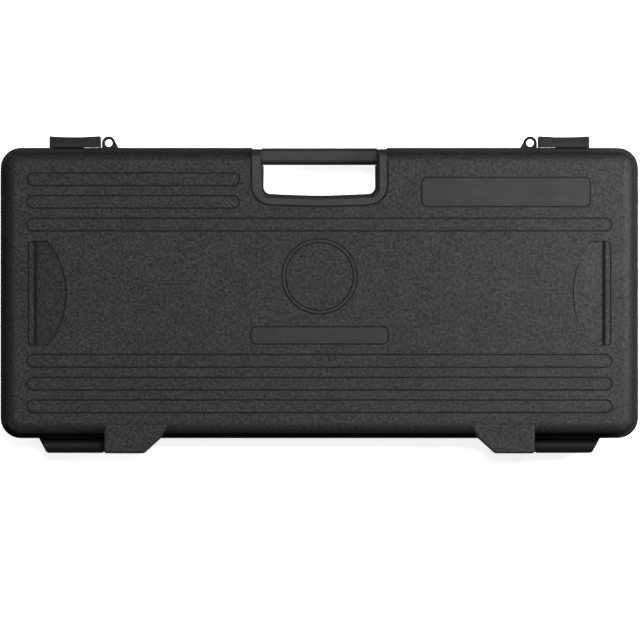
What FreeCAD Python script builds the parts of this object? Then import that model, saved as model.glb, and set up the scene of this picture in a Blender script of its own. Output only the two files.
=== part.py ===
import FreeCAD, Part
import math
import os

# A hard-shell pedalboard: a moulded case that lies on four rubber feet, opens
# like a suitcase and holds six effect pedals and a power adapter.
#
# Frame, millimetres: the origin is on the floor under the middle of the case.
# +X runs along the length, -Y points to the side with the handle and latches,
# +Y to the hinge side, +Z up through the lid. Somebody who stands at the handle
# has -X on the left and +X on the right.

Vector = FreeCAD.Vector

# ---------------------------------------------------------------- driving sizes
CASE_LENGTH = 640.0          # rim to rim along X
CASE_DEPTH = 291.5           # rim to rim along Y
OVERALL_DEPTH = 318.0        # latch faces to hinge lug ends
LATCH_REACH = 11.6           # latch faces ahead of the front rim
CORNER_RADIUS = 20.5
WALL = 3.0
FOOT_HEIGHT = 3.0
PARTING_Z = 58.0             # plane where lid and base meet
LID_TOP_Z = 104.0
PARTING_GAP = 0.3            # open line between the two rims
RIM_REACH = 4.5              # rim flange ahead of the wall
RIM_HEIGHT = 6.0             # of each rim flange
PEDAL_COUNT = 6
PEDAL_BAY_WIDTH = 76.0
DIVIDER_THICKNESS = 4.0

# ---------------------------------------------------------------- derived places
FRONT_Y = -OVERALL_DEPTH / 2
BACK_Y = OVERALL_DEPTH / 2
RIM_FRONT = FRONT_Y + LATCH_REACH
RIM_BACK = RIM_FRONT + CASE_DEPTH
HALF_LENGTH = CASE_LENGTH / 2
BASE_TOP_Z = PARTING_Z - PARTING_GAP / 2
LID_BOTTOM_Z = PARTING_Z + PARTING_GAP / 2
LID_DRAFT = 2.0              # wall leans in by this much over the lid's height
BASE_DRAFT = 3.5
LID_EDGE_RADIUS = 10.0
BASE_EDGE_RADIUS = 8.0
LID_WALL_INSET = RIM_REACH
BASE_FLOOR_Z = FOOT_HEIGHT + WALL + 0.5

# handle well: the U-shaped notch through both halves behind the grip
WELL_HALF = 55.9             # at the parting plane
WELL_DRAFT = 2.3             # wider by this much at the lid's face and the base's floor
WELL_BACK_Y = -101.5         # corner of its inner end at the parting plane
WELL_BOW = 2.3               # the inner end is bowed out by this much
WELL_CORNER = 7.0
WELL_WALL = 3.5
BAND_HALF = 67.3             # smooth band round the well on the lid's face
BAND_BACK_Y = -90.9
BAND_CORNER = 19.0
BAND_RISE = 0.6
BAND_OUTLINE = (1.8, 1.1)    # width and depth of the groove round the band
WELL_CHAMFER = 2.2           # of the well's mouth in the band
ARM_FRONT_Y = RIM_FRONT + 1.7
ARM_HALF_INNER = 58.2        # the base's arms clamp the grip
LID_ARM_PLAY = 0.3           # gap between the lid's arms and the grip
ARM_BACK_Y = -124.0

# handle
GRIP_HALF = ARM_HALF_INNER
GRIP_FRONT_Y = RIM_FRONT + 0.4
GRIP_BACK_Y = -130.2
GRIP_BOTTOM_Z = 44.0
GRIP_TOP_Z = 72.0
GRIP_EDGE = 5.0
GRIP_SPLIT_Z = 52.0          # the rod's axis and the seam between the grip's halves
ROD_RADIUS = 3.0
ROD_HALF = 66.0
ROD_Y = (GRIP_FRONT_Y + GRIP_BACK_Y) / 2

# hinge
HINGE_Y = 151.7
HINGE_Z = PARTING_Z
KNUCKLE_RADIUS = 6.5
PIN_RADIUS = 2.5
PIN_CLEARANCE = 0.06
PIN_START_X = 173.5
PIN_END_X = 274.0
LUG_SEAM_X = 215.7           # between a lid lug and the base lug beside it
LUG_SEAM_GAP = 0.4
LID_LUG_ROOT_X = 149.7
LID_LUG_RIM_X = 159.0
LID_LUG_TIP_X = 175.4
LID_LUG_ROOT_Y = 129.0
LUG_TIP_CORNER = 3.5
LUG_SEAM_CORNER = 2.8
LID_LUG_EDGE = 2.4           # rounding of a lid lug's top edges
BASE_LUG_RIM_X = 281.6
BASE_LUG_TIP_X = 273.5
BASE_LUG_BOTTOM_Z = 14.0

# latches: a slider on the lid's T-rail, two hooks that pass under two tabs on the base
LATCH_INNER_X = 219.4
LATCH_OUTER_X = 270.9
LATCH_BOTTOM_Z = 43.0
LATCH_TOP_Z = 72.0
LATCH_TRAVEL = 14.0
LATCH_END_WALL = 2.5
LATCH_BACK_Y = RIM_FRONT - 0.35
RAIL_PLAY = 0.4
RAIL_HEAD_FRONT_Y = RIM_FRONT - 5.6
RAIL_HEAD_BACK_Y = RIM_FRONT - 3.0
RAIL_HEAD_Z = (58.4, 66.0)
RAIL_NECK_Z = (59.6, 63.2)
KEEPER_Z = (50.5, 54.5)
LATCH_CORNER = 1.5
LATCH_DISH = 0.8             # the front face is hollowed by this much at its middle
LATCH_RIBBED = (233.4, 266.6)
LATCH_RIB_PITCH = 1.66
LATCH_RIB_DEPTH = 0.6
LATCH_RIB_REACH = 7.0        # how far the ribs run back over the top
LATCH_NOTCH = (2.0, 4.5, 2.5)        # at the inboard end of the top: along X, Y and Z
KEEPER_SPANS = ((236.5, 246.5), (258.5, 267.5))
HOOK_SPANS = ((224.5, 234.5), (248.0, 257.0))
HOOK_Z = (46.0, 50.1)

# padlock eyes
EYE_X = 211.5
EYE_Y = RIM_FRONT - 4.7
EYE_HOLE = 3.7
EYE_OUTER = 6.8
EYE_GUSSET_X = 201.0

# lid face
GROOVE_WIDTH = 1.4
GROOVE_DEPTH = 1.1
OUTLINE_WIDTH = 1.2          # groove round the raised panels
OUTLINE_DEPTH = 0.8
CAPSULE_HEIGHT = 12.6
CAPSULE_HALF = 292.5
LONG_CAPSULES_Y = (-69.8, 66.5, 89.3, 112.0)
SHORT_CAPSULES_Y = (-115.2, -92.6)
SHORT_CAPSULE_X = (80.0, CAPSULE_HALF)
RECESS_STEP = 0.4            # shallow step all round the recess
RECESS_DEPTH = 4.0           # at the straight wall that the fingers pull on
RECESS_X = (253.5, 272.0, 285.4)     # bow's peak, bow's ends, straight wall
RECESS_SLOT = 2.4            # width of the slot at the straight wall's foot
RECESS_SLOT_DEPTH = 1.2
RECESS_LEDGE_X = 291.2       # outer side of the ledge behind the straight wall
RECESS_LEDGE_CORNER = 4.0
RECESS_MID_Y = -1.0
RECESS_HALF_Y = 51.9
PANEL_RISE = 0.8
PANEL_CORNER = 5.0
NAME_PANEL = (-270.0, -103.0, -116.5, -88.5)
BAR_PANEL = (-68.0, 68.0, 33.0, 49.0)
BADGE_RADIUS = 37.0
BADGE_Y = -18.0
BADGE_RING = 2.4

# inside
DECK_TOP_Z = 22.0
DECK_THICKNESS = 3.0
DECK_INSET = 14.5
RAIL_HEIGHT = 18.0
BAY_LEFT_X = -300.0
BAY_RIGHT_X = 300.0
BAY_FRONT_Y = -88.0
BAY_BACK_Y = 50.0
PAD_THICKNESS = 2.5
PAD_MARGIN = 4.0
POST_RADIUS = 5.5
DECK_SCREW_POINTS = [(x, 92.0) for x in (-240.0, -90.0, 90.0, 240.0)]
DECK_SCREW_POINTS += [(x, -112.0) for x in (-240.0, -95.0, 95.0, 240.0)]
FOAM_BOTTOM_Z = 86.0
FOAM_HALF = 247.0
FOAM_FRONT_Y = -84.0
FOAM_BACK_Y = 122.0

# feet and screws
FOOT_RADIUS = 12.0
FOOT_SOCKET = 1.5
FOOT_X = 268.0
FOOT_YS = (-112.0, 108.0)
SCREW_RADIUS = 1.7
SCREW_HEAD_RADIUS = 3.4
SCREW_HEAD_HEIGHT = 2.2


# ---------------------------------------------------------------- shape helpers
def outline(corners, z):
    """Closed flat wire through (x, y, corner radius) points at height z."""
    edges = []
    count = len(corners)
    starts = []
    ends = []
    arcs = []
    for index, (x, y, radius) in enumerate(corners):
        corner = Vector(x, y, z)
        before = Vector(corners[index - 1][0], corners[index - 1][1], z)
        after = Vector(corners[(index + 1) % count][0], corners[(index + 1) % count][1], z)
        back = (before - corner).normalize()
        ahead = (after - corner).normalize()
        if radius == 0:
            starts.append(corner)
            ends.append(corner)
            arcs.append(None)
            continue
        half_angle = back.getAngle(ahead) / 2
        reach = radius / math.tan(half_angle)
        middle = (back + ahead).normalize() * (radius / math.sin(half_angle) - radius)
        starts.append(corner + back * reach)
        ends.append(corner + ahead * reach)
        arcs.append(corner + middle)
    for index in range(count):
        if arcs[index] is not None:
            edges.append(Part.Arc(starts[index], arcs[index], ends[index]).toShape())
        following = (index + 1) % count
        edges.append(Part.LineSegment(ends[index], starts[following]).toShape())
    return Part.Wire(edges)


def prism(corners, low, high):
    """Straight block over an outline."""
    return Part.Face(outline(corners, low)).extrude(Vector(0, 0, high - low))


def taper(low_corners, low, high_corners, high):
    """Block whose outline changes evenly from one height to another."""
    return Part.makeLoft([outline(low_corners, low), outline(high_corners, high)], True, True)


def box(x_span, y_span, z_span):
    """Box between pairs of x, y and z values, in any order."""
    low = Vector(min(x_span), min(y_span), min(z_span))
    size = Vector(max(x_span), max(y_span), max(z_span)) - low
    return Part.makeBox(size.x, size.y, size.z, low)


def post(x, y, radius, low, high):
    """Upright cylinder."""
    return Part.makeCylinder(radius, high - low, Vector(x, y, low))


def bar(y, z, radius, x_from, x_to):
    """Cylinder along X."""
    return Part.makeCylinder(radius, abs(x_to - x_from), Vector(min(x_from, x_to), y, z), Vector(1, 0, 0))


def rounded_at(shape, z, radius):
    """Round every edge that lies wholly at height z."""
    rim = []
    for edge in shape.Edges:
        bounds = edge.BoundBox
        if abs(bounds.ZMin - z) < 0.001 and abs(bounds.ZMax - z) < 0.001:
            rim.append(edge)
    return shape.makeFillet(radius, rim)


def case_corners(inset):
    """The case's outline, drawn in by an inset."""
    side = HALF_LENGTH - inset
    front = RIM_FRONT + inset
    back = RIM_BACK - inset
    radius = max(CORNER_RADIUS - inset, 4.0)
    return [(-side, front, radius), (side, front, radius), (side, back, radius), (-side, back, radius)]


def rectangle(x_span, y_span, radius=0.0):
    """Corners of a rounded rectangle."""
    left, right = x_span
    front, back = y_span
    return [(left, front, radius), (right, front, radius), (right, back, radius), (left, back, radius)]


def well_corners(half_width, back_y, corner, front_y):
    """The handle well's outline: straight arms and a bowed inner end."""
    return [
        (-half_width, front_y, 0),
        (half_width, front_y, 0),
        (half_width, back_y, corner),
        (0, back_y + WELL_BOW, 500.0),
        (-half_width, back_y, corner),
    ]


def mirrored(shape):
    """The same piece on the other side of the middle."""
    return shape.mirror(Vector(0, 0, 0), Vector(1, 0, 0))


def both_sides(shape):
    """A piece and its mirror image."""
    return [shape, mirrored(shape)]


def finish(shape, name):
    """Clean a piece, test it and write it to its own file."""
    shape = shape.removeSplitter()
    if not shape.isValid() or not shape.Solids:
        raise ValueError(name + " is not a valid solid")
    shape.exportStep("parts/" + name + ".step")


def screw(x, y, head_z, tip_z):
    """Pan-head cross screw on a vertical axis, with its head's top at head_z."""
    upward = 1.0 if head_z > tip_z else -1.0
    seat_z = head_z - upward * SCREW_HEAD_HEIGHT
    head = post(x, y, SCREW_HEAD_RADIUS, min(seat_z, head_z), max(seat_z, head_z))
    head = rounded_at(head, head_z, SCREW_HEAD_HEIGHT * 0.45)
    shank = post(x, y, SCREW_RADIUS, min(seat_z, tip_z), max(seat_z, tip_z))
    deep_z = head_z - upward * SCREW_HEAD_HEIGHT * 0.6
    arm = SCREW_HEAD_RADIUS * 0.55
    slot = SCREW_HEAD_RADIUS * 0.14
    across = box((x - arm, x + arm), (y - slot, y + slot), (deep_z, head_z + upward))
    along = box((x - slot, x + slot), (y - arm, y + arm), (deep_z, head_z + upward))
    return head.fuse(shank).cut([across, along])


# ---------------------------------------------------------------- shared volumes
def well_void(far_z):
    """The space that the handle well leaves open, from the parting plane to far_z."""
    front = RIM_FRONT - 5.0
    narrow = well_corners(WELL_HALF, WELL_BACK_Y, WELL_CORNER, front)
    wide = well_corners(WELL_HALF + WELL_DRAFT, WELL_BACK_Y + WELL_DRAFT, WELL_CORNER, front)
    return taper(narrow, PARTING_Z, wide, far_z)


def well_mouth():
    """Flared cut that chamfers the well's mouth in the lid's band."""
    half = WELL_HALF + WELL_DRAFT
    back = WELL_BACK_Y + WELL_DRAFT
    flare = WELL_CHAMFER + 1.0
    front = RIM_FRONT - 5.0
    narrow = well_corners(half, back, WELL_CORNER, front)
    wide = well_corners(half + flare, back + flare, WELL_CORNER + flare, front)
    top = LID_TOP_Z + BAND_RISE
    return taper(narrow, top - WELL_CHAMFER, wide, top - WELL_CHAMFER + flare)


def well_wall(far_z):
    """Solid block that becomes the wall round the handle well."""
    front = ARM_FRONT_Y + WELL_WALL
    half = WELL_HALF + WELL_WALL
    back = WELL_BACK_Y + WELL_WALL
    corner = WELL_CORNER + WELL_WALL
    narrow = well_corners(half, back, corner, front)
    wide = well_corners(half + WELL_DRAFT, back + WELL_DRAFT, corner, front)
    return taper(narrow, PARTING_Z, wide, far_z)


def grip_seat(play):
    """Room for the grip between the arms, and the arms' ends set back from the rim."""
    ahead = RIM_FRONT - 5.0
    heights = (-1.0, LID_TOP_Z + 5.0)
    half = ARM_HALF_INNER + play
    seat = box((-half, half), (ahead, GRIP_BACK_Y + 0.6), heights)
    return seat.fuse(box((-BAND_HALF, BAND_HALF), (ahead, ARM_FRONT_Y), heights))


def lug_corners(root_x, rim_x, tip_x, root_y, shrink=0.0):
    """Plan of a hinge lug between its sloped side and the seam, on the +X side."""
    if tip_x < LUG_SEAM_X:
        seam = LUG_SEAM_X - LUG_SEAM_GAP / 2 - shrink
        lean = shrink
    else:
        seam = LUG_SEAM_X + LUG_SEAM_GAP / 2 + shrink
        lean = -shrink
    end = BACK_Y - shrink
    corners = [
        (root_x + lean, root_y, 0),
        (rim_x + lean, RIM_BACK, 0),
        (tip_x + lean * 1.4, end, LUG_TIP_CORNER),
        (seam, end, LUG_SEAM_CORNER),
        (seam, root_y, 0),
    ]
    return corners


def knuckle(plan):
    """Round eye of a hinge lug on the +X side, trimmed to the lug's plan."""
    whole = bar(HINGE_Y, HINGE_Z, KNUCKLE_RADIUS, LID_LUG_RIM_X, BASE_LUG_RIM_X)
    return whole.common(prism(plan, HINGE_Z - KNUCKLE_RADIUS - 1.0, HINGE_Z + KNUCKLE_RADIUS + 1.0))


# ---------------------------------------------------------------- base
def base_shell():
    """Lower half: tub, rim, handle well, hinge lugs, latch tabs, posts and foot sockets."""
    tub = taper(case_corners(RIM_REACH), BASE_TOP_Z, case_corners(RIM_REACH + BASE_DRAFT), FOOT_HEIGHT)
    tub = rounded_at(tub, FOOT_HEIGHT, BASE_EDGE_RADIUS)
    rim = prism(case_corners(0), BASE_TOP_Z - RIM_HEIGHT, BASE_TOP_Z)
    hollow_inset = RIM_REACH + WALL
    hollow = taper(
        case_corners(hollow_inset), BASE_TOP_Z + 1.0,
        case_corners(hollow_inset + BASE_DRAFT), BASE_FLOOR_Z)
    hollow = rounded_at(hollow, BASE_FLOOR_Z, BASE_EDGE_RADIUS - WALL)
    arms = both_sides(box(
        (ARM_HALF_INNER, BAND_HALF), (ARM_FRONT_Y, ARM_BACK_Y), (GRIP_BOTTOM_Z - 6.0, BASE_TOP_Z)))
    wall = well_wall(FOOT_HEIGHT).common(tub)
    lugs = both_sides(base_lug())
    body = tub.fuse(rim).cut(hollow).fuse([wall] + arms)
    posts = [post(x, y, POST_RADIUS, BASE_FLOOR_Z - 1.0, DECK_TOP_Z - DECK_THICKNESS)
             for x, y in DECK_SCREW_POINTS]
    keepers = []
    for start, stop in KEEPER_SPANS:
        tab = box((start, stop), (RAIL_HEAD_FRONT_Y + 0.4, RIM_FRONT + RIM_REACH + 1.0), KEEPER_Z)
        keepers += both_sides(tab)
    body = body.fuse(lugs + posts + keepers + both_sides(padlock_eye(BASE_TOP_Z - RIM_HEIGHT, BASE_TOP_Z)))
    body = body.cut([well_void(FOOT_HEIGHT - 1.0), grip_seat(0.0)])
    holes = [bar(HINGE_Y, HINGE_Z, PIN_RADIUS, LUG_SEAM_X - 5.0, PIN_END_X + 8.0)]
    holes.append(mirrored(holes[0]))
    holes.append(bar(ROD_Y, GRIP_SPLIT_Z, ROD_RADIUS, -ROD_HALF, ROD_HALF))
    for x, y in DECK_SCREW_POINTS:
        holes.append(post(x, y, SCREW_RADIUS, BASE_FLOOR_Z + 1.5, DECK_TOP_Z))
    for x, y in foot_points():
        holes.append(post(x, y, FOOT_RADIUS, FOOT_HEIGHT - 1.0, FOOT_HEIGHT + FOOT_SOCKET))
        holes.append(post(x, y, SCREW_RADIUS, FOOT_HEIGHT, BASE_FLOOR_Z + 6.0))
    bosses = [post(x, y, POST_RADIUS, BASE_FLOOR_Z - 1.0, BASE_FLOOR_Z + 5.0) for x, y in foot_points()]
    return body.fuse(bosses).cut(holes)


def base_lug():
    """Hinge lug on the base's +X side, cored from below, with its knuckle on top."""
    root_y = RIM_BACK - RIM_REACH - BASE_DRAFT
    plan = lug_corners(BASE_LUG_RIM_X, BASE_LUG_RIM_X, BASE_LUG_TIP_X, root_y)
    core_plan = lug_corners(BASE_LUG_RIM_X, BASE_LUG_RIM_X, BASE_LUG_TIP_X, RIM_BACK - 1.0, WALL)
    lug = prism(plan, BASE_LUG_BOTTOM_Z, BASE_TOP_Z)
    core = prism(core_plan, BASE_LUG_BOTTOM_Z - 1.0, BASE_TOP_Z - WALL)
    rib_x = (LUG_SEAM_X + BASE_LUG_TIP_X) / 2
    rib = box((rib_x - 1.5, rib_x + 1.5), (RIM_BACK - 1.0, BACK_Y - 1.0), (BASE_LUG_BOTTOM_Z, BASE_TOP_Z))
    return lug.cut(core).fuse([rib, knuckle(plan)])


def padlock_eye(low, high):
    """Ring for a padlock's shackle on the +X side, with its gusset to the rim."""
    ring = post(EYE_X, EYE_Y, EYE_OUTER, low, high)
    gusset_corners = [
        (EYE_GUSSET_X, RIM_FRONT + 1.0, 0),
        (EYE_X + EYE_OUTER, RIM_FRONT + 1.0, 0),
        (EYE_X + EYE_OUTER, EYE_Y, 0),
        (EYE_X - EYE_OUTER * 0.75, EYE_Y - EYE_OUTER * 0.6, 0),
    ]
    return ring.fuse(prism(gusset_corners, low, high)).cut(
        post(EYE_X, EYE_Y, EYE_HOLE, low - 1.0, high + 1.0))


def foot_points():
    """Centres of the four feet."""
    return [(side * FOOT_X, y) for side in (-1, 1) for y in FOOT_YS]


# ---------------------------------------------------------------- lid
def lid_shell():
    """Upper half: cover, rim with its inner lip, handle well, lugs, rails and face relief."""
    wall_top = LID_WALL_INSET + LID_DRAFT
    cover = taper(case_corners(LID_WALL_INSET), LID_BOTTOM_Z, case_corners(wall_top), LID_TOP_Z)
    cover = rounded_at(cover, LID_TOP_Z, LID_EDGE_RADIUS)
    rim = prism(case_corners(0), LID_BOTTOM_Z, LID_BOTTOM_Z + RIM_HEIGHT)
    hollow = taper(
        case_corners(LID_WALL_INSET + WALL), LID_BOTTOM_Z - 1.0,
        case_corners(wall_top + WALL), LID_TOP_Z - WALL)
    hollow = rounded_at(hollow, LID_TOP_Z - WALL, LID_EDGE_RADIUS - WALL)
    recesses = both_sides(finger_recess())
    recess_backs = both_sides(recess_block(WALL, LID_TOP_Z - RECESS_DEPTH - WALL))
    hollow = hollow.cut(recess_backs)
    body = cover.fuse(rim).cut(hollow).fuse([lid_lip(), handle_band()])
    wall = well_wall(LID_TOP_Z).common(cover)
    arm = box((ARM_HALF_INNER, BAND_HALF), (ARM_FRONT_Y, ARM_BACK_Y), (LID_BOTTOM_Z, LID_TOP_Z + BAND_RISE))
    front_top = [edge for edge in arm.Edges
                 if abs(edge.BoundBox.YMax - ARM_FRONT_Y) < 0.01 and edge.BoundBox.ZMin > LID_TOP_Z]
    arm = arm.makeFillet(LID_EDGE_RADIUS, front_top)
    eyes = both_sides(padlock_eye(LID_BOTTOM_Z, LID_BOTTOM_Z + RIM_HEIGHT))
    body = body.fuse([wall] + both_sides(arm) + both_sides(lid_lug()) + both_sides(latch_rail()) + eyes)
    body = body.fuse(raised_panels())
    pin_bore = bar(HINGE_Y, HINGE_Z, PIN_RADIUS + PIN_CLEARANCE, PIN_START_X - 0.5, LUG_SEAM_X + 5.0)
    voids = [well_void(LID_TOP_Z + BAND_RISE + 1.0), well_mouth(), grip_seat(LID_ARM_PLAY)]
    return body.cut(voids + recesses + both_sides(pin_bore) + capsule_grooves() + panel_outlines())


def lid_lip():
    """Lip under the lid's rim that drops inside the base's rim."""
    outer_inset = LID_WALL_INSET + WALL + 0.5
    inner_inset = outer_inset + 1.8
    root = prism(case_corners(LID_WALL_INSET + WALL - 0.5), LID_BOTTOM_Z + 0.3, LID_BOTTOM_Z + 4.0)
    lip = prism(case_corners(outer_inset), LID_BOTTOM_Z - 3.0, LID_BOTTOM_Z + 4.0)
    inside = prism(case_corners(inner_inset), LID_BOTTOM_Z - 4.0, LID_BOTTOM_Z + 5.0)
    clear = box((-BAND_HALF - 4.0, BAND_HALF + 4.0), (FRONT_Y, ARM_BACK_Y + 10.0), (0, LID_TOP_Z))
    return root.fuse(lip).cut([inside, clear])


def handle_band():
    """Smooth raised band round the well on the lid's face."""
    half = BAND_HALF
    plan = well_corners(half, BAND_BACK_Y, BAND_CORNER, RIM_FRONT + LID_EDGE_RADIUS + 4.0)
    return prism(plan, LID_TOP_Z - WALL, LID_TOP_Z + BAND_RISE)


def lid_lug():
    """Hinge lug on the lid's +X side, flush with the face, cored from below."""
    plan = lug_corners(LID_LUG_ROOT_X, LID_LUG_RIM_X, LID_LUG_TIP_X, LID_LUG_ROOT_Y)
    core_plan = lug_corners(LID_LUG_RIM_X, LID_LUG_RIM_X, LID_LUG_TIP_X, RIM_BACK - 1.0, WALL)
    lug = rounded_at(prism(plan, LID_BOTTOM_Z, LID_TOP_Z), LID_TOP_Z, LID_LUG_EDGE)
    inner = prism(
        lug_corners(LID_LUG_ROOT_X, LID_LUG_RIM_X, LID_LUG_TIP_X, LID_LUG_ROOT_Y - 10.0, WALL),
        LID_BOTTOM_Z - 1.0, LID_TOP_Z - WALL)
    behind_wall = box((0, HALF_LENGTH), (0, RIM_BACK - RIM_REACH - LID_DRAFT - WALL), (0, LID_TOP_Z))
    core = prism(core_plan, LID_BOTTOM_Z - 1.0, LID_TOP_Z - WALL)
    rib_x = (LUG_SEAM_X + LID_LUG_TIP_X) / 2
    rib = box((rib_x - 1.5, rib_x + 1.5), (RIM_BACK - 1.0, BACK_Y - 1.0), (LID_BOTTOM_Z, LID_TOP_Z - 1.0))
    return lug.cut([core, inner.common(behind_wall)]).fuse([rib, knuckle(plan)])


def latch_rail():
    """T-shaped rail on the lid's front rim, +X side, that the latch slides on."""
    start = LATCH_INNER_X + LATCH_END_WALL + LATCH_TRAVEL + 0.3
    stop = LATCH_OUTER_X - LATCH_END_WALL - 0.3
    neck = box((start, stop), (RAIL_HEAD_BACK_Y - 0.5, RIM_FRONT + 1.0), RAIL_NECK_Z)
    head = box((start, stop), (RAIL_HEAD_FRONT_Y, RAIL_HEAD_BACK_Y), RAIL_HEAD_Z)
    return neck.fuse(head)


def recess_block(grow, floor_z):
    """D-shaped block at the +X end of the face, between its bowed side and its straight wall."""
    peak, side, straight = RECESS_X
    low = RECESS_MID_Y - RECESS_HALF_Y - grow
    high = RECESS_MID_Y + RECESS_HALF_Y + grow
    far_low = Vector(straight + grow, low, floor_z)
    far_high = Vector(straight + grow, high, floor_z)
    bow_start = Vector(side - grow * 0.5, high, floor_z)
    bow_end = Vector(side - grow * 0.5, low, floor_z)
    edges = [
        Part.LineSegment(far_low, far_high).toShape(),
        Part.LineSegment(far_high, bow_start).toShape(),
        Part.Arc(bow_start, Vector(peak - grow, RECESS_MID_Y, floor_z), bow_end).toShape(),
        Part.LineSegment(bow_end, far_low).toShape(),
    ]
    return Part.Face(Part.Wire(edges)).extrude(Vector(0, 0, LID_TOP_Z + 2.0 - floor_z))


def ledge_plan(grow):
    """Outline of the ledge behind the recess's straight wall, +X side."""
    start = RECESS_X[2] - 1.0
    stop = RECESS_LEDGE_X + grow
    low = RECESS_MID_Y - RECESS_HALF_Y - grow
    high = RECESS_MID_Y + RECESS_HALF_Y + grow
    corner = RECESS_LEDGE_CORNER + grow
    return [(start, low, 0), (stop, low, corner), (stop, high, corner), (start, high, 0)]


def finger_recess():
    """Finger recess on the +X side: a grooved edge, then a scoop that deepens to the straight wall."""
    peak = RECESS_X[0]
    straight = RECESS_X[2]
    low = RECESS_MID_Y - RECESS_HALF_Y
    high = RECESS_MID_Y + RECESS_HALF_Y
    step_z = LID_TOP_Z - RECESS_STEP
    deep_z = LID_TOP_Z - RECESS_DEPTH
    above_z = LID_TOP_Z + 3.0
    slope = [Vector(peak - 1.0, low - 1.0, step_z), Vector(straight + 1.0, low - 1.0, deep_z),
             Vector(straight + 1.0, low - 1.0, above_z), Vector(peak - 1.0, low - 1.0, above_z)]
    wedge = Part.Face(Part.makePolygon(slope + slope[:1])).extrude(Vector(0, high - low + 2.0, 0))
    scoop = recess_block(0.0, deep_z - 1.0).common(wedge)
    slot = box((straight - RECESS_SLOT, straight), (low, high), (deep_z - RECESS_SLOT_DEPTH, LID_TOP_Z))
    grow = GROOVE_WIDTH / 2
    groove_z = LID_TOP_Z - GROOVE_DEPTH
    bow_groove = recess_block(grow, groove_z).cut(recess_block(-grow, groove_z - 1.0))
    ledge = prism(ledge_plan(-grow), step_z, above_z)
    ledge_groove = prism(ledge_plan(grow), groove_z, above_z).cut(
        prism(ledge_plan(-grow), groove_z - 1.0, above_z + 1.0))
    return scoop.fuse([slot, bow_groove, ledge, ledge_groove])


def outline_groove(x_span, y_span, corner, inside, outside, depth):
    """Groove in the lid's face round a rectangle, from inside its edge to outside it."""
    plans = []
    for grow in (outside, -inside):
        across = (x_span[0] - grow, x_span[1] + grow)
        along = (y_span[0] - grow, y_span[1] + grow)
        plans.append(rectangle(across, along, corner + grow))
    low = LID_TOP_Z - depth
    return prism(plans[0], low, LID_TOP_Z + 1.0).cut(prism(plans[1], low - 1.0, LID_TOP_Z + 2.0))


def capsule_groove(x_span, y):
    """Groove that draws a long capsule on the face."""
    half = CAPSULE_HEIGHT / 2
    return outline_groove(
        x_span, (y - half, y + half), half - 0.01, GROOVE_WIDTH / 2, GROOVE_WIDTH / 2, GROOVE_DEPTH)


def capsule_grooves():
    """All capsule grooves on the lid's face."""
    grooves = [capsule_groove((-CAPSULE_HALF, CAPSULE_HALF), y) for y in LONG_CAPSULES_Y]
    grooves += [capsule_groove(SHORT_CAPSULE_X, y) for y in SHORT_CAPSULES_Y]
    return grooves


def raised_panels():
    """Plain blank name panel, blank bar and a plain ring badge."""
    low = LID_TOP_Z - 1.0
    high = LID_TOP_Z + PANEL_RISE
    panels = [prism(rectangle(panel[:2], panel[2:], PANEL_CORNER), low, high)
              for panel in (NAME_PANEL, BAR_PANEL)]
    ring = post(0, BADGE_Y, BADGE_RADIUS, low, high).cut(
        post(0, BADGE_Y, BADGE_RADIUS - BADGE_RING, low - 1.0, high + 1.0))
    return panels + [ring]


def panel_outlines():
    """Narrow grooves round the raised panels, both sides of the ring and the band."""
    outlines = [outline_groove(panel[:2], panel[2:], PANEL_CORNER, 0.0, OUTLINE_WIDTH, OUTLINE_DEPTH)
                for panel in (NAME_PANEL, BAR_PANEL)]
    low = LID_TOP_Z - OUTLINE_DEPTH
    high = LID_TOP_Z + PANEL_RISE + 1.0
    for inner in (BADGE_RADIUS, BADGE_RADIUS - BADGE_RING - OUTLINE_WIDTH):
        outlines.append(post(0, BADGE_Y, inner + OUTLINE_WIDTH, low, high).cut(
            post(0, BADGE_Y, inner, low - 1.0, high + 1.0)))
    width, depth = BAND_OUTLINE
    wide = well_corners(BAND_HALF + width, BAND_BACK_Y + width, BAND_CORNER + width, RIM_FRONT)
    narrow = well_corners(BAND_HALF, BAND_BACK_Y, BAND_CORNER, RIM_FRONT - 1.0)
    low = LID_TOP_Z - depth
    outlines.append(prism(wide, low, high).cut(prism(narrow, low - 1.0, high + 1.0)))
    return outlines


# ---------------------------------------------------------------- latches
def latch_slider():
    """Slider on the +X side at rest, pushed inboard so that its hooks clear the tabs."""
    outer = box((LATCH_INNER_X, LATCH_OUTER_X), (FRONT_Y, LATCH_BACK_Y), (LATCH_BOTTOM_Z, LATCH_TOP_Z))
    upright = [edge for edge in outer.Edges
               if edge.BoundBox.ZLength > 1.0 and edge.BoundBox.YMax < FRONT_Y + 0.01]
    outer = outer.makeFillet(LATCH_CORNER, upright)
    inside_x = (LATCH_INNER_X + LATCH_END_WALL, LATCH_OUTER_X - LATCH_END_WALL)
    front = RAIL_HEAD_FRONT_Y - RAIL_PLAY
    open_y = RIM_FRONT + 1.0
    head_room = box(
        inside_x, (front, RAIL_HEAD_BACK_Y + RAIL_PLAY),
        (RAIL_HEAD_Z[0] - RAIL_PLAY, RAIL_HEAD_Z[1] + RAIL_PLAY))
    neck_slot = box(inside_x, (front, open_y), (RAIL_NECK_Z[0] - RAIL_PLAY, RAIL_NECK_Z[1] + RAIL_PLAY))
    tab_room = box(inside_x, (front, open_y), (LATCH_BOTTOM_Z - 1.0, KEEPER_Z[1] + 1.0))
    hooks = [box(span, (front - 1.0, LATCH_BACK_Y - 0.1), HOOK_Z) for span in HOOK_SPANS]
    return outer.cut([head_room, neck_slot, tab_room] + latch_finger_cuts()).fuse(hooks)


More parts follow.
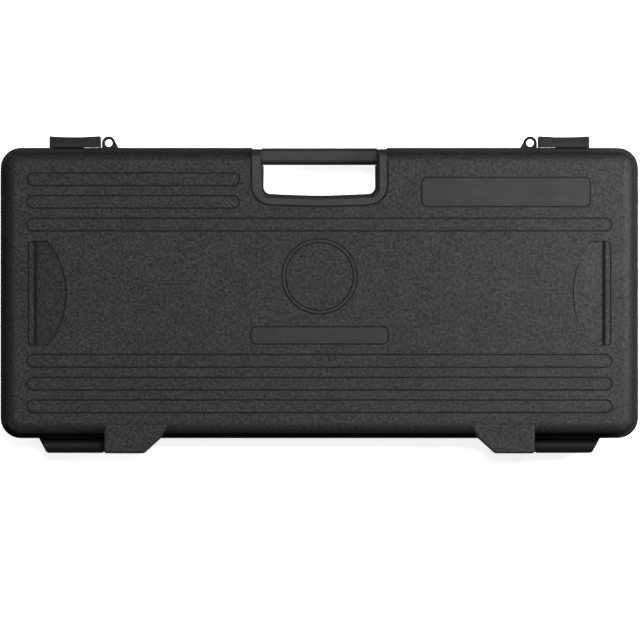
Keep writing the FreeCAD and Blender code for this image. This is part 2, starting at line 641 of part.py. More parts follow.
def latch_finger_cuts():
    """The hollow of the slider's front face, its finger ribs and the notch at its inboard end."""
    middle = (LATCH_INNER_X + LATCH_OUTER_X) / 2
    half = (LATCH_OUTER_X - LATCH_INNER_X) / 2 - LATCH_CORNER
    radius = half * half / (2 * LATCH_DISH)
    centre_y = FRONT_Y - radius + LATCH_DISH
    heights = (LATCH_BOTTOM_Z - 1.0, LATCH_TOP_Z + 1.0)
    dish = post(middle, centre_y, radius, *heights)
    near = box((LATCH_INNER_X, LATCH_OUTER_X), (FRONT_Y - 1.0, FRONT_Y + 3.0), heights)
    dish = dish.common(near)
    rib_face = post(middle, centre_y, radius + LATCH_RIB_DEPTH, *heights)
    start, stop = LATCH_RIBBED
    valleys = []
    for index in range(int((stop - start) / LATCH_RIB_PITCH) + 1):
        x = start + index * LATCH_RIB_PITCH
        across = (x, x + LATCH_RIB_PITCH / 2)
        valleys.append(box(across, (FRONT_Y - 1.0, FRONT_Y + 3.0), heights).common(rib_face))
        valleys.append(box(
            across, (FRONT_Y - 1.0, FRONT_Y + LATCH_RIB_REACH),
            (LATCH_TOP_Z - LATCH_RIB_DEPTH, LATCH_TOP_Z + 1.0)))
    along, deep, high = LATCH_NOTCH
    notch = box(
        (LATCH_INNER_X - 1.0, LATCH_INNER_X + along),
        (LATCH_BACK_Y - 1.5 - deep, LATCH_BACK_Y - 1.5),
        (LATCH_TOP_Z - high, LATCH_TOP_Z + 1.0))
    return [dish, notch] + valleys


# ---------------------------------------------------------------- handle
def grip():
    """Whole grip before it is split into its two halves."""
    span = (-GRIP_HALF, GRIP_HALF)
    block = box(span, (GRIP_FRONT_Y, GRIP_BACK_Y), (GRIP_BOTTOM_Z, GRIP_TOP_Z))
    long_edges = [edge for edge in block.Edges if edge.BoundBox.XLength > 1.0]
    block = block.makeFillet(GRIP_EDGE, long_edges)
    rod_hole = bar(ROD_Y, GRIP_SPLIT_Z, ROD_RADIUS, -GRIP_HALF - 1.0, GRIP_HALF + 1.0)
    return block.cut(rod_hole)


def grip_half(low, high):
    """One half of the grip, with holes for the screws."""
    slab = box((-GRIP_HALF, GRIP_HALF), (GRIP_FRONT_Y, GRIP_BACK_Y), (low, high))
    holes = []
    for x, y in grip_screw_points():
        holes.append(post(x, y, SCREW_RADIUS, GRIP_BOTTOM_Z, GRIP_TOP_Z - 8.0))
        holes.append(post(x, y, SCREW_HEAD_RADIUS, GRIP_BOTTOM_Z - 1.0, GRIP_BOTTOM_Z + SCREW_HEAD_HEIGHT))
    return grip().common(slab).cut(holes)


def grip_screw_points():
    """Screws stand on both sides of the rod, clear of it."""
    offset = ROD_RADIUS + SCREW_RADIUS + 0.2
    return [(x, ROD_Y + side * offset) for x in (-38.0, 38.0) for side in (-1, 1)]


# ---------------------------------------------------------------- inside
def bay_lefts():
    """Left edge of each pedal bay, then of the adapter bay."""
    pitch = PEDAL_BAY_WIDTH + DIVIDER_THICKNESS
    return [BAY_LEFT_X + index * pitch for index in range(PEDAL_COUNT + 1)]


def divider_slots(x):
    """Where a divider's two tabs pass through the deck."""
    low = DECK_TOP_Z - DECK_THICKNESS
    spans = ((BAY_FRONT_Y + 20.0, BAY_FRONT_Y + 34.0), (BAY_BACK_Y - 34.0, BAY_BACK_Y - 20.0))
    return [box((x, x + DIVIDER_THICKNESS), span, (low, DECK_TOP_Z)) for span in spans]


def divider(x):
    """Upright plate between two bays, rounded at its top corners, with two tabs in the deck."""
    plate = box((x, x + DIVIDER_THICKNESS), (BAY_FRONT_Y, BAY_BACK_Y), (DECK_TOP_Z, DECK_TOP_Z + RAIL_HEIGHT))
    top = [edge for edge in plate.Edges
           if edge.BoundBox.XLength > 1.0 and edge.BoundBox.ZMin > DECK_TOP_Z + 1.0]
    return plate.makeFillet(6.0, top).fuse(divider_slots(x))


def pedal_deck():
    """Flat deck on the base's posts, cut away round the handle well."""
    low = DECK_TOP_Z - DECK_THICKNESS
    plate = prism(case_corners(DECK_INSET), low, DECK_TOP_Z)
    well_room = box((-63.5, 63.5), (FRONT_Y, BAY_FRONT_Y - 2.0), (low - 1.0, DECK_TOP_Z + 1.0))
    cuts = [well_room]
    for x in bay_lefts()[1:]:
        cuts += divider_slots(x - DIVIDER_THICKNESS)
    for x, y in DECK_SCREW_POINTS:
        cuts.append(post(x, y, SCREW_RADIUS, low - 1.0, DECK_TOP_Z + 1.0))
    return plate.cut(cuts)


def rail(x_span, y):
    """Low wall across the bays' ends."""
    return box(x_span, (y, y + DIVIDER_THICKNESS), (DECK_TOP_Z, DECK_TOP_Z + RAIL_HEIGHT))


def pad(left, right):
    """Foam pad on a bay's floor."""
    plan = rectangle(
        (left + PAD_MARGIN, right - PAD_MARGIN),
        (BAY_FRONT_Y + PAD_MARGIN, BAY_BACK_Y - PAD_MARGIN), 3.0)
    return prism(plan, DECK_TOP_Z, DECK_TOP_Z + PAD_THICKNESS)


def lid_foam():
    """Foam liner stuck under the lid's face; it holds the pedals down."""
    plan = rectangle((-FOAM_HALF, FOAM_HALF), (FOAM_FRONT_Y, FOAM_BACK_Y), 8.0)
    return prism(plan, FOAM_BOTTOM_Z, LID_TOP_Z - WALL)


def rubber_foot(x, y):
    """Round foot with a sunk seat for its screw."""
    foot = post(x, y, FOOT_RADIUS, 0.0, FOOT_HEIGHT + FOOT_SOCKET)
    foot = rounded_at(foot, 0.0, 1.2)
    head = post(x, y, SCREW_HEAD_RADIUS + 0.6, -1.0, 0.8 + SCREW_HEAD_HEIGHT)
    return foot.cut([head, post(x, y, SCREW_RADIUS, 0.0, FOOT_HEIGHT + 3.0)])


# ---------------------------------------------------------------- write every piece
def main():
    finish(base_shell(), "base_shell")
    finish(lid_shell(), "lid_shell")
    slider = latch_slider()
    finish(slider, "latch_slider_right")
    finish(mirrored(slider), "latch_slider_left")
    pin = bar(HINGE_Y, HINGE_Z, PIN_RADIUS, PIN_START_X, PIN_END_X)
    finish(pin, "hinge_pin_right")
    finish(mirrored(pin), "hinge_pin_left")
    finish(bar(ROD_Y, GRIP_SPLIT_Z, ROD_RADIUS, -ROD_HALF, ROD_HALF), "handle_rod")
    finish(grip_half(GRIP_BOTTOM_Z, GRIP_SPLIT_Z), "handle_grip_lower")
    finish(grip_half(GRIP_SPLIT_Z, GRIP_TOP_Z), "handle_grip_upper")
    grip_screws = [screw(x, y, GRIP_BOTTOM_Z, GRIP_TOP_Z - 9.0) for x, y in grip_screw_points()]
    finish(Part.makeCompound(grip_screws), "handle_screws")

    finish(pedal_deck(), "pedal_deck")
    deck_screws = [screw(x, y, DECK_TOP_Z + SCREW_HEAD_HEIGHT, BASE_FLOOR_Z + 2.0)
                   for x, y in DECK_SCREW_POINTS]
    finish(Part.makeCompound(deck_screws), "deck_screws")
    finish(rail((BAY_LEFT_X, BAY_RIGHT_X), BAY_BACK_Y), "rear_rail")
    front_rail_y = BAY_FRONT_Y - DIVIDER_THICKNESS
    finish(rail((BAY_LEFT_X, -BAND_HALF), front_rail_y), "front_rail_left")
    finish(rail((BAND_HALF, BAY_RIGHT_X), front_rail_y), "front_rail_right")
    lefts = bay_lefts()
    for index, x in enumerate(lefts[1:], start=1):
        finish(divider(x - DIVIDER_THICKNESS), "bay_divider_" + str(index))
    for index, x in enumerate(lefts[:PEDAL_COUNT], start=1):
        finish(pad(x, x + PEDAL_BAY_WIDTH), "pedal_pad_" + str(index))
    finish(pad(lefts[PEDAL_COUNT], BAY_RIGHT_X), "adapter_pad")
    finish(lid_foam(), "lid_foam")

    corner_names = ("front_left", "rear_left", "front_right", "rear_right")
    for name, (x, y) in zip(corner_names, foot_points()):
        finish(rubber_foot(x, y), "rubber_foot_" + name)
    foot_screws = [screw(x, y, 0.8, BASE_FLOOR_Z + 5.5) for x, y in foot_points()]
    finish(Part.makeCompound(foot_screws), "foot_screws")


main()
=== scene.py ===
"""A hard-shell pedalboard case, seen from straight above its closed lid.

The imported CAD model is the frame. This script gives every piece its surface, and it
replaces the plain foam liner and the plain bay pads by detailed soft pieces.
"""
import math

import bmesh
import bpy
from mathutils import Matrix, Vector


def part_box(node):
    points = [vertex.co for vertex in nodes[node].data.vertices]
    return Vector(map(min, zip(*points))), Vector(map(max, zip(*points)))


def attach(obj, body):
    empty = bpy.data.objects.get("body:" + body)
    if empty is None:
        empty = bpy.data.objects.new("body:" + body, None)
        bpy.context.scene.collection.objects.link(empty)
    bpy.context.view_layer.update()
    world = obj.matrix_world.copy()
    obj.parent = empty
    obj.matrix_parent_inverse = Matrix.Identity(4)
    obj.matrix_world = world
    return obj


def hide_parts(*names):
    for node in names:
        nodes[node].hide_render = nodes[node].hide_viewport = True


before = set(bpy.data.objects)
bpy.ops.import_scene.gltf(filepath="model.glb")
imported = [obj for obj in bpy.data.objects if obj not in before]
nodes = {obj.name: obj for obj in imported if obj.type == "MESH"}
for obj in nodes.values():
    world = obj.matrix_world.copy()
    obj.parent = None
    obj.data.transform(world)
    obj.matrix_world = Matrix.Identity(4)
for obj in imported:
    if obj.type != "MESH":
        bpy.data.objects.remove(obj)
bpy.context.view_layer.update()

MM = 0.001


# ------------------------------------------------------------------ node helpers
def new_material(name):
    """A node material: itself, its tree and its shader."""
    material = bpy.data.materials.new(name)
    material.use_nodes = True
    tree = material.node_tree
    return material, tree, tree.nodes["Principled BSDF"]


def place(tree):
    """Where a point is on its own piece, in metres."""
    return tree.nodes.new("ShaderNodeTexCoord").outputs["Object"]


def noise(tree, where, size, detail=2.0, roughness=0.5):
    """Cloudy noise whose blots are about size metres apart."""
    node = tree.nodes.new("ShaderNodeTexNoise")
    node.inputs["Scale"].default_value = 1.0 / size
    node.inputs["Detail"].default_value = detail
    node.inputs["Roughness"].default_value = roughness
    tree.links.new(where, node.inputs["Vector"])
    return node.outputs["Fac"]


def cells(tree, where, size):
    """Distance from the middle of random cells that are about size metres apart."""
    node = tree.nodes.new("ShaderNodeTexVoronoi")
    node.inputs["Scale"].default_value = 1.0 / size
    tree.links.new(where, node.inputs["Vector"])
    return node.outputs["Distance"]


def spread(tree, value, low, high, from_low=0.3, from_high=0.7):
    """Maps a texture value on to a range."""
    node = tree.nodes.new("ShaderNodeMapRange")
    node.inputs["From Min"].default_value = from_low
    node.inputs["From Max"].default_value = from_high
    node.inputs["To Min"].default_value = low
    node.inputs["To Max"].default_value = high
    tree.links.new(value, node.inputs["Value"])
    return node.outputs["Result"]


def combine(tree, operation, first, second):
    """Arithmetic on two values, each a socket or a number."""
    node = tree.nodes.new("ShaderNodeMath")
    node.operation = operation
    for socket, value in zip(node.inputs, (first, second)):
        if isinstance(value, float):
            socket.default_value = value
        else:
            tree.links.new(value, socket)
    return node.outputs[0]


def tinted(tree, shader, colour, factor):
    """Base colour scaled by a value that varies over the surface."""
    tint = tree.nodes.new("ShaderNodeVectorMath")
    tint.operation = "SCALE"
    tint.inputs[0].default_value = colour
    tree.links.new(factor, tint.inputs["Scale"])
    tree.links.new(tint.outputs[0], shader.inputs["Base Color"])


def bump(tree, height, distance, below=None):
    """A bump layer of the given depth in metres, on top of another normal."""
    node = tree.nodes.new("ShaderNodeBump")
    node.inputs["Distance"].default_value = distance
    tree.links.new(height, node.inputs["Height"])
    if below is not None:
        tree.links.new(below, node.inputs["Normal"])
    return node.outputs["Normal"]


BEVEL_SAMPLES = 6


def soft_edges(tree, radius):
    """Normals that turn round sharp edges, as moulded plastic does."""
    node = tree.nodes.new("ShaderNodeBevel")
    node.samples = BEVEL_SAMPLES
    node.inputs["Radius"].default_value = radius
    return node.outputs["Normal"]


# Edges that these cosines mark get a painted highlight and a lower roughness.
EDGE_FULL_COSINE = 0.80                       # of the angle between the rounded and the flat normal
EDGE_NONE_COSINE = 0.98
EDGE_PATCH_SIZE = 14 * MM


def edge_highlight_and_wear(tree, where, rounded):
    """1 on edges, where the rounded normal leaves the flat one: this masks a painted edge highlight
    and the edges' rubbed, lower roughness.
    """
    flat = tree.nodes.new("ShaderNodeNewGeometry").outputs["Normal"]
    compare = tree.nodes.new("ShaderNodeVectorMath")
    compare.operation = "DOT_PRODUCT"
    tree.links.new(rounded, compare.inputs[0])
    tree.links.new(flat, compare.inputs[1])
    turned = spread(tree, compare.outputs["Value"], 1.0, 0.0, EDGE_FULL_COSINE, EDGE_NONE_COSINE)
    patchy = spread(tree, noise(tree, where, EDGE_PATCH_SIZE, detail=4.0), 0.15, 1.0)
    return combine(tree, "MULTIPLY", turned, patchy)


# ------------------------------------------------------------------ materials
FINER_PITCH = 2.3                        # the second layer of pits is this many times finer
FINER_DEPTH = 0.4                        # and this deep, of the first layer's depth
BLOTCH_SIZE = 110 * MM
GLOSS_PATCH_SIZE = 18 * MM
EDGE_HIGHLIGHT_TINT = 1.35                         # edges get a painted highlight this many times lighter
WEAR_SHINE = 0.12                        # and this much less rough
GRIT = 0.2                               # pits are rougher by this share of the pit shade


def moulded_plastic(name, colour, pit_shade, pitch, depth, gloss, specular, edge=0.5 * MM):
    """Moulded ABS.

    Its pits get painted shade, darker by the share given after its colour; pitch is their spacing
    and depth their depth.
    gloss is the range of its roughness, and edge the radius of its rounded edges, which get a
    painted highlight.
    """
    material, tree, shader = new_material(name)
    where = place(tree)
    pebbles = noise(tree, where, pitch, detail=2.5, roughness=0.6)
    fine = noise(tree, where, pitch / FINER_PITCH, detail=2.0, roughness=0.6)
    blotch = spread(tree, noise(tree, where, BLOTCH_SIZE, detail=4.0), 0.95, 1.05)
    # The pits are darker: painted shade in the hollows of the grain.
    painted_pit_shade = spread(tree, pebbles, 1.0 - pit_shade, 1.0 + pit_shade)
    rounded = soft_edges(tree, edge)
    highlight_and_wear = edge_highlight_and_wear(tree, where, rounded)
    # Edges are lightened: a painted edge highlight.
    painted_edge_highlight = spread(tree, highlight_and_wear, 1.0, EDGE_HIGHLIGHT_TINT, from_low=0.0, from_high=1.0)
    shade = combine(tree, "MULTIPLY", combine(tree, "MULTIPLY", painted_pit_shade, blotch), painted_edge_highlight)
    tinted(tree, shader, colour, shade)
    uneven = spread(tree, noise(tree, where, GLOSS_PATCH_SIZE, detail=3.0), *gloss)
    rubbed = spread(tree, highlight_and_wear, 0.0, -WEAR_SHINE, from_low=0.0, from_high=1.0)
    gritty = spread(tree, pebbles, pit_shade * GRIT, -pit_shade * GRIT)
    rough = combine(tree, "ADD", combine(tree, "ADD", uneven, gritty), rubbed)
    tree.links.new(rough, shader.inputs["Roughness"])
    normal = bump(tree, pebbles, depth, below=rounded)
    normal = bump(tree, fine, depth * FINER_DEPTH, below=normal)
    tree.links.new(normal, shader.inputs["Normal"])
    shader.inputs["Specular IOR Level"].default_value = specular
    return material


def drawn_metal(name, colour, gloss):
    """Drawn steel with fine marks."""
    material, tree, shader = new_material(name)
    where = place(tree)
    marks = noise(tree, where, 1.1 * MM, detail=3.0)
    tinted(tree, shader, colour, spread(tree, marks, 0.9, 1.1))
    tree.links.new(spread(tree, marks, *gloss), shader.inputs["Roughness"])
    tree.links.new(bump(tree, marks, 0.01 * MM), shader.inputs["Normal"])
    shader.inputs["Metallic"].default_value = 1.0
    return material


def foot_rubber():
    """Dull moulded rubber with a fine matt texture and dusty patches."""
    material, tree, shader = new_material("foot_rubber")
    where = place(tree)
    grit = noise(tree, where, 0.5 * MM, detail=3.0, roughness=0.7)
    dust = noise(tree, where, 7 * MM, detail=4.0, roughness=0.6)
    tinted(tree, shader, (0.021, 0.021, 0.022), spread(tree, dust, 0.8, 1.5))
    tree.links.new(spread(tree, dust, 0.78, 0.92), shader.inputs["Roughness"])
    normal = bump(tree, grit, 0.05 * MM, below=soft_edges(tree, 0.4 * MM))
    tree.links.new(normal, shader.inputs["Normal"])
    shader.inputs["Specular IOR Level"].default_value = 0.3
    return material


def open_foam():
    """Charcoal polyether foam: large and small open cells."""
    material, tree, shader = new_material("open_foam")
    where = place(tree)
    pores = cells(tree, where, 1.3 * MM)
    small_pores = cells(tree, where, 0.55 * MM)
    fade = spread(tree, noise(tree, where, 60 * MM, detail=4.0), 0.88, 1.12)
    # The pore hollows are darker: painted shade inside the open cells.
    dark_pores = spread(tree, pores, 0.62, 1.25, from_low=0.1, from_high=0.7)
    tinted(tree, shader, (0.036, 0.036, 0.039), combine(tree, "MULTIPLY", dark_pores, fade))
    rough = spread(tree, small_pores, 0.86, 0.98, from_low=0.1, from_high=0.7)
    tree.links.new(rough, shader.inputs["Roughness"])
    normal = bump(tree, small_pores, 0.25 * MM, below=bump(tree, pores, 0.5 * MM))
    tree.links.new(normal, shader.inputs["Normal"])
    shader.inputs["Specular IOR Level"].default_value = 0.1
    shader.inputs["Sheen Weight"].default_value = 0.15
    return material


def loop_fabric():
    """Brushed loop fabric on the bay pads: short fibres that lie in all directions."""
    material, tree, shader = new_material("loop_fabric")
    where = place(tree)
    fibres = noise(tree, where, 0.45 * MM, detail=5.0, roughness=0.75)
    tufts = noise(tree, where, 2.4 * MM, detail=3.0, roughness=0.6)
    worn = noise(tree, where, 35 * MM, detail=3.0)
    tone = combine(tree, "MULTIPLY", spread(tree, fibres, 0.6, 1.4), spread(tree, worn, 0.85, 1.15))
    tinted(tree, shader, (0.024, 0.024, 0.026), tone)
    tree.links.new(spread(tree, worn, 0.84, 0.97), shader.inputs["Roughness"])
    normal = bump(tree, fibres, 0.25 * MM, below=bump(tree, tufts, 0.5 * MM))
    tree.links.new(normal, shader.inputs["Normal"])
    shader.inputs["Specular IOR Level"].default_value = 0.1
    shader.inputs["Sheen Weight"].default_value = 0.35
    shader.inputs["Sheen Roughness"].default_value = 0.6
    return material


shell_material = moulded_plastic(
    "grained_shell", colour=(0.0068, 0.0068, 0.0069), pit_shade=0.60, pitch=2.8 * MM, depth=0.58 * MM,
    gloss=(0.57, 0.65), specular=0.135)
# Grooves and the slots at the recesses' straight walls: darker and less specular than the shell,
# painted shade where they are occluded.
groove_shade_material = moulded_plastic(
    "groove_painted_shade", colour=(0.0055, 0.0055, 0.0056), pit_shade=0.20, pitch=1.4 * MM, depth=0.10 * MM,
    gloss=(0.66, 0.74), specular=0.07)
panel_material = moulded_plastic(
    "panel_face", colour=(0.0072, 0.0072, 0.0073), pit_shade=0.20, pitch=1.6 * MM, depth=0.12 * MM,
    gloss=(0.58, 0.66), specular=0.142)
smooth_material = moulded_plastic(
    "smooth_plastic", colour=(0.0072, 0.0072, 0.0073), pit_shade=0.05, pitch=1.1 * MM, depth=0.04 * MM,
    gloss=(0.55, 0.61), specular=0.155)
rim_material = moulded_plastic(
    "smooth_rim", colour=(0.0042, 0.0042, 0.0043), pit_shade=0.08, pitch=1.0 * MM, depth=0.05 * MM,
    gloss=(0.56, 0.64), specular=0.075)
latch_material = moulded_plastic(
    "latch_plastic", colour=(0.0045, 0.0045, 0.0046), pit_shade=0.06, pitch=1.0 * MM, depth=0.04 * MM,
    gloss=(0.52, 0.60), edge=0.3 * MM, specular=0.08)
inner_material = moulded_plastic(
    "inner_sheet", colour=(0.0090, 0.0090, 0.0092), pit_shade=0.16, pitch=1.2 * MM, depth=0.14 * MM,
    gloss=(0.55, 0.60), specular=0.15)
steel_material = drawn_metal("drawn_steel", colour=(0.55, 0.55, 0.56), gloss=(0.25, 0.40))
screw_material = drawn_metal("black_zinc", colour=(0.050, 0.050, 0.052), gloss=(0.30, 0.45))
rubber_material = foot_rubber()
foam_material = open_foam()
fabric_material = loop_fabric()


def material_of(node_name):
    """The surface of each CAD node."""
    if node_name in ("lid_shell", "base_shell"):
        return shell_material
    if node_name.startswith("handle_grip"):
        return smooth_material
    if node_name.startswith("latch_slider"):
        return latch_material
    if node_name.startswith("hinge_pin") or node_name == "handle_rod":
        return steel_material
    if node_name.endswith("_screws"):
        return screw_material
    if node_name.startswith("rubber_foot"):
        return rubber_material
    return inner_material


for node_name, node in nodes.items():
    node.data.materials.clear()
    node.data.materials.append(material_of(node_name))


# ------------------------------------------------------------------ zones of the shells
PANEL_RISE = 0.8 * MM
LID_FACE_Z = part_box("lid_shell")[1].z - PANEL_RISE
SHALLOWEST_GROOVE = 0.7 * MM
DEEPEST_GROOVE = 1.2 * MM
GROOVED_AREAS = (                        # half width, front and back
    (294 * MM, -127 * MM, 121 * MM),     # the face
    (69.2 * MM, -150 * MM, -80 * MM),    # round the handle well
)
SLOT_INNER = 282.9 * MM                  # slot at the foot of each recess's straight wall
SLOT_OUTER = 285.6 * MM
SLOT_TOP = LID_FACE_Z - 3.4 * MM
SLOT_BOTTOM = LID_FACE_Z - 5.3 * MM
BAND_HALF = 67.4 * MM                    # smooth band round the handle well
BAND_BACK_Y = -87.6 * MM
PARTING_Z = 58 * MM
RIM_REACH = 7 * MM                       # rims and knuckles are this near the parting plane


def in_groove(corners):
    """True for the floor and sides of a groove in the lid's face, and of the slot at each recess's
    straight wall; these get painted shade.
    """
    lowest = min(c.z for c in corners)
    highest = max(c.z for c in corners)
    on_face = any(
        all(abs(c.x) < side and front < c.y < back for c in corners)
        for side, front, back in GROOVED_AREAS)
    groove = LID_FACE_Z - DEEPEST_GROOVE < lowest < LID_FACE_Z - SHALLOWEST_GROOVE
    slot = SLOT_BOTTOM < lowest and highest < SLOT_TOP
    at_slot = all(SLOT_INNER < abs(c.x) < SLOT_OUTER for c in corners)
    return (on_face and groove and highest < LID_FACE_Z + PANEL_RISE / 4) or (slot and at_slot)


def in_band(corners):
    """True for the smooth band and the walls round the handle well."""
    return all(abs(c.x) < BAND_HALF and c.y < BAND_BACK_Y for c in corners)


def on_rim(corners):
    """True for the smooth rims where the halves meet, and for the hinge's knuckles."""
    return all(abs(c.z - PARTING_Z) < RIM_REACH for c in corners)


def on_panel(corners):
    """True for the tops of the raised panels and the ring."""
    return all(c.z > LID_FACE_Z + PANEL_RISE / 3 for c in corners)


def paint_zones(node_name):
    """Gives the grooves painted shade, a darker surface, and the band, the panels and the rims of a
    shell their own surfaces.
    """
    mesh = nodes[node_name].data
    zones = (
        (in_groove, groove_shade_material),
        (in_band, smooth_material),
        (on_panel, panel_material),
        (on_rim, rim_material),
    )
    for _, material in zones:
        mesh.materials.append(material)
    for face in mesh.polygons:
        corners = [mesh.vertices[index].co for index in face.vertices]
        for slot, (is_in_zone, _) in enumerate(zones, start=1):
            if is_in_zone(corners):
                face.material_index = slot
                break


paint_zones("lid_shell")
paint_zones("base_shell")


# ------------------------------------------------------------------ soft pieces
EDGE_ROWS = 5                            # rows of points within a pad's rounded edge
PAD_RIM = 0.12                           # of a pad's thickness stands upright at its edge


def as_object(name, shape):
    """Puts a finished bmesh into the scene as an object."""
    mesh = bpy.data.meshes.new(name)
    shape.to_mesh(mesh)
    shape.free()
    thing = bpy.data.objects.new(name, mesh)
    bpy.context.scene.collection.objects.link(thing)
    return thing


def steps(low, high, pitch, edge):
    """Places from low to high: an even pitch, and closer rows within the two rounded edges."""
    near = [edge * (1 - math.cos(math.pi / 2 * row / EDGE_ROWS)) for row in range(EDGE_ROWS)]
    count = max(2, round((high - low - 2 * edge) / pitch))
    middle = [low + edge + (high - low - 2 * edge) * index / count for index in range(count + 1)]
    return [low + value for value in near] + middle + [high - value for value in reversed(near)]


def on_rounded_corner(x, y, middle, half, radius):
    """Moves a point of a pad's square corner on to a quarter circle. Other points stay."""
    past_x = abs(x - middle.x) - (half.x - radius)
    past_y = abs(y - middle.y) - (half.y - radius)
    if past_x <= 0 or past_y <= 0:
        return x, y
    moved_x = past_x * math.sqrt(1 - (past_y / radius) ** 2 / 2)
    moved_y = past_y * math.sqrt(1 - (past_x / radius) ** 2 / 2)
    return (middle.x + math.copysign(half.x - radius + moved_x, x - middle.x),
            middle.y + math.copysign(half.y - radius + moved_y, y - middle.y))


def edge_height(inset, edge):
    """0 at the rim of a pad and 1 past its rounded edge, along a quarter circle."""
    if inset >= edge:
        return 1.0
    return math.sqrt(max(0.0, 1 - (1 - inset / edge) ** 2))


def once_round(columns, rows):
    """Places of a grid's outer points in the list of its points, in order round the grid."""
    last = (columns - 1) * rows
    order = list(range(rows))
    order += [column * rows + rows - 1 for column in range(1, columns)]
    order += [last + row for row in range(rows - 2, -1, -1)]
    order += [column * rows for column in range(columns - 2, 0, -1)]
    return order


def close_pad(shape, glued, shown, columns, rows):
    """Makes the faces of both sides of a pad, and of the edge between them."""

    def cell(side, column, row):
        """The four points of one cell of a side."""
        start = column * rows + row
        return [side[start], side[start + rows], side[start + rows + 1], side[start + 1]]

    for column in range(columns - 1):
        for row in range(rows - 1):
            shape.faces.new(cell(shown, column, row))
            shape.faces.new(reversed(cell(glued, column, row)))
    border = once_round(columns, rows)
    for here, following in zip(border, border[1:] + border[:1]):
        shape.faces.new([glued[here], glued[following], shown[following], shown[here]])
    bmesh.ops.recalc_face_normals(shape, faces=shape.faces)


def relief_pad(name, low, high, pitch, edge, corner, relief, faces_down=False):
    """A closed pad: flat on its glued side, with a relief from 0 to 1 on the other."""
    xs = steps(low.x, high.x, pitch, edge)
    ys = steps(low.y, high.y, pitch, edge)
    middle = (low + high) / 2
    half = (high - low) / 2
    rim = PAD_RIM * (high.z - low.z)
    shape = bmesh.new()
    glued = []
    shown = []
    for x in xs:
        for y in ys:
            inset = min(half.x - abs(x - middle.x), half.y - abs(y - middle.y))
            height = edge_height(inset, edge) * relief(x - middle.x, y - middle.y)
            reach = rim + (high.z - low.z - rim) * height
            back_z = high.z if faces_down else low.z
            front_z = high.z - reach if faces_down else low.z + reach
            spot = on_rounded_corner(x, y, middle, half, corner)
            glued.append(shape.verts.new((*spot, back_z)))
            shown.append(shape.verts.new((*spot, front_z)))
    close_pad(shape, glued, shown, len(xs), len(ys))
    piece = as_object(name, shape)
    for face in piece.data.polygons:
        face.use_smooth = True
    return piece


EGG_PITCH = 25 * MM
EGG_VALLEY = 0.45                        # of the relief is left in the valleys
EGG_SHARPNESS = 1.3                      # above 1, peaks are narrower than valleys


def egg_crate(x, y):
    """Rounded peaks, one pitch apart in both directions."""
    waves = math.cos(2 * math.pi * x / EGG_PITCH) + math.cos(2 * math.pi * y / EGG_PITCH)
    swell = (waves + 2) / 4
    return EGG_VALLEY + (1 - EGG_VALLEY) * swell ** EGG_SHARPNESS


def foam_liner():
    """Convoluted foam glued under the lid's face; its peaks hold the pedals down."""
    low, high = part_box("lid_foam")
    liner = relief_pad(
        "foam_liner", low, high, pitch=3.1 * MM, edge=5 * MM, corner=8 * MM,
        relief=egg_crate, faces_down=True)
    liner.data.materials.append(foam_material)
    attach(liner, "lid")
    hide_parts("lid_foam")


PAD_LEVEL = 0.93                         # of the relief, on average
PAD_SWELL = 0.05
WAVES_ALONG_X = 190                      # radians for each metre
WAVES_ALONG_Y = 130
WAVE_START_X = 0.7
WAVE_START_Y = 1.9


def pad_crown(x, y):
    """A thin pad: almost level, with the slow waves of soft foam under fabric."""
    wave_x = math.sin(x * WAVES_ALONG_X + WAVE_START_X)
    wave_y = math.sin(y * WAVES_ALONG_Y + WAVE_START_Y)
    return PAD_LEVEL + PAD_SWELL * (wave_x * wave_y)


def bay_pad(node_name):
    """Fabric-faced foam pad on the floor of one bay."""
    low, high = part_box(node_name)
    piece = relief_pad(
        node_name + "_soft", low, high, pitch=4 * MM, edge=2 * MM, corner=3 * MM, relief=pad_crown)
    piece.data.materials.append(fabric_material)
    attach(piece, "base")
    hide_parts(node_name)


foam_liner()
for node_name in sorted(nodes):
    if node_name.startswith("pedal_pad") or node_name == "adapter_pad":
        bay_pad(node_name)


# ------------------------------------------------------------------ stage
STUDIO_RADIUS = 20.0
WALL_HEIGHT = 14.0
STUDIO_GLOW = 0.75


def pale_surround():
    """Pale matt paint that glows a little, so that shadows and far corners stay light."""
    material, tree, shader = new_material("pale_surround")
    shader.inputs["Base Color"].default_value = (0.88, 0.88, 0.88, 1)
    shader.inputs["Roughness"].default_value = 0.9
    shader.inputs["Specular IOR Level"].default_value = 0.1
    shader.inputs["Emission Color"].default_value = (1, 1, 1, 1)
    shader.inputs["Emission Strength"].default_value = STUDIO_GLOW
    return material


def studio():
    """A plain pale floor and a round wall far away. They send no light back on to the case."""
    shape = bmesh.new()
    bmesh.ops.create_circle(shape, cap_ends=True, segments=96, radius=STUDIO_RADIUS)
    rim = [edge for edge in shape.edges if edge.is_boundary]
    wall = bmesh.ops.extrude_edge_only(shape, edges=rim)["geom"]
    upper = [item for item in wall if isinstance(item, bmesh.types.BMVert)]
    bmesh.ops.translate(shape, verts=upper, vec=(0, 0, WALL_HEIGHT))
    room = as_object("studio", shape)
    room.data.materials.append(pale_surround())
    room.visible_diffuse = False
    room.visible_glossy = False


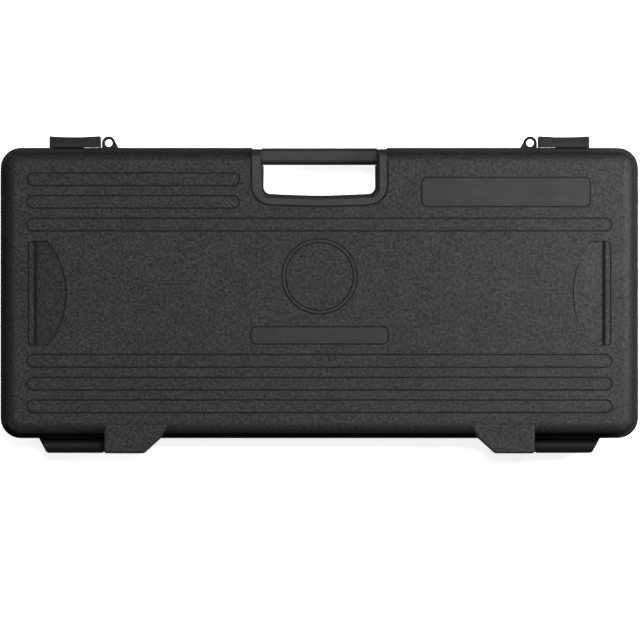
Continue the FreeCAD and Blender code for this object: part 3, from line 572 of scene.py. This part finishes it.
def soft_light(name, place_at, aim, size, power):
    """A rectangular lamp that faces a point."""
    lamp = bpy.data.lights.new(name, "AREA")
    lamp.shape = "RECTANGLE"
    lamp.size = size[0]
    lamp.size_y = size[1]
    lamp.energy = power
    thing = bpy.data.objects.new(name, lamp)
    thing.location = place_at
    direction = Vector(aim) - Vector(place_at)
    thing.rotation_euler = direction.to_track_quat("-Z", "Y").to_euler()
    thing.visible_camera = False
    bpy.context.scene.collection.objects.link(thing)


def sky(strength):
    """An even dim surround."""
    world = bpy.data.worlds.new("surround")
    world.use_nodes = True
    background = world.node_tree.nodes["Background"]
    background.inputs["Color"].default_value = (1, 1, 1, 1)
    background.inputs["Strength"].default_value = strength
    bpy.context.scene.world = world


CASE_MIDDLE = (0.0, 0.0, 0.06)
SIDE_LAMPS = 4
SIDE_LAMP_REACH = 3.0
SIDE_LAMP_HEIGHT = 0.5
HINGE_SIDE_POWER = 26.0
HANDLE_SIDE_POWER = 36.0


def side_lamps():
    """One low lamp off each corner of the case, so that its sides can be made out."""
    for index in range(SIDE_LAMPS):
        turn = math.radians(45 + 360 / SIDE_LAMPS * index)
        x = SIDE_LAMP_REACH * math.cos(turn)
        y = SIDE_LAMP_REACH * math.sin(turn)
        power = HINGE_SIDE_POWER if y > 0 else HANDLE_SIDE_POWER
        spot = (x, y, SIDE_LAMP_HEIGHT)
        soft_light("side_" + str(index + 1), spot, CASE_MIDDLE, size=(1.2, 0.8), power=power)


CAMERA_HEIGHT = 11.8
CAMERA_X = -0.0006
CAMERA_Y = 0.0255                        # the case lies a little above the picture's middle
LENS = 657.8


def main_camera():
    """Straight above the lid, with the handle side at the top of the picture."""
    camera = bpy.data.cameras.new("main_camera")
    camera.lens = LENS
    camera.sensor_width = 36.0
    camera.clip_end = 50.0
    thing = bpy.data.objects.new("main_camera", camera)
    thing.location = (CAMERA_X, CAMERA_Y, CAMERA_HEIGHT)
    thing.rotation_euler = (0.0, 0.0, math.pi)
    bpy.context.scene.collection.objects.link(thing)
    bpy.context.scene.camera = thing


studio()
sky(strength=0.07)
soft_light("overhead", (-0.3, -1.1, 5.2), CASE_MIDDLE, size=(1.5, 1.0), power=400.0)
soft_light("left_key", (-0.64, -0.12, 0.50), CASE_MIDDLE, size=(0.4, 0.5), power=12.0)
side_lamps()
main_camera()
bpy.context.scene.view_settings.view_transform = "Standard"
